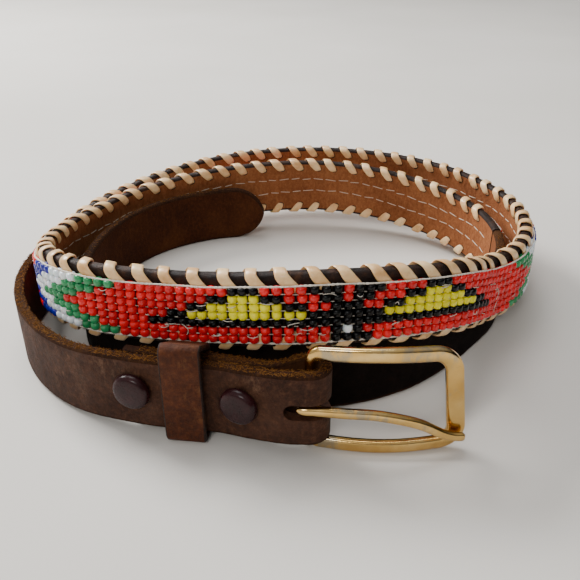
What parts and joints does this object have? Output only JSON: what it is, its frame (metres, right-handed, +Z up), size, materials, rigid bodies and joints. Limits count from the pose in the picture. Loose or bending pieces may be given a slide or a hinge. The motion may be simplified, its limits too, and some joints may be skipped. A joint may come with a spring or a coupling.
{
  "type": "beaded belt",
  "caption": "Coiled leather belt with a loom-beaded outer face, laced edges, a keeper loop, press studs and a gilt heel-bar buckle.",
  "frame": {"origin": "on the table under the middle of the coiled belt's own box", "axes": "+Z up, the belt's lower edges at z = 0; -Y towards the front, where the buckle and the first wrap are; +X to the right"},
  "size_m": [0.1762, 0.172, 0.0476],
  "materials": {
    "brown_leather": "matt worn brown leather with raw fuzzy edges",
    "backing_leather": "dark glossy edge, orange-brown suede inside",
    "tip_leather": "dark brown suede",
    "seed_beads": "opaque glossy glass beads in several colours",
    "lacing": "satin cream lace",
    "keeper_leather": "matt worn brown leather",
    "stud_enamel": "glossy plum-brown enamel",
    "gilt_brass": "worn polished gilt"
  },
  "bodies": {
    "strap": {"buckle_strap": "brown_leather", "belt_body": "backing_leather", "tip_strap": "tip_leather", "bead_panel": "seed_beads", "upper_lace": "lacing", "lower_lace": "lacing", "keeper": "keeper_leather", "snap_near_buckle": "stud_enamel", "snap_far": "stud_enamel"},
    "buckle": {"buckle_frame": "gilt_brass"},
    "tongue": {"prong": "gilt_brass"}
  },
  "joints": [
    {"name": "buckle_swing", "type": "hinge", "parent": "strap", "child": "buckle", "pos_m": [0.00539, -0.07972, 0.01562], "axis": [0, 0, -1], "range_deg": [-10, 30]},
    {"name": "prong_swing", "type": "hinge", "parent": "buckle", "child": "tongue", "pos_m": [0.00539, -0.07972, 0.01562], "axis": [0, 0, -1], "range_deg": [0, 60]}
  ]
}
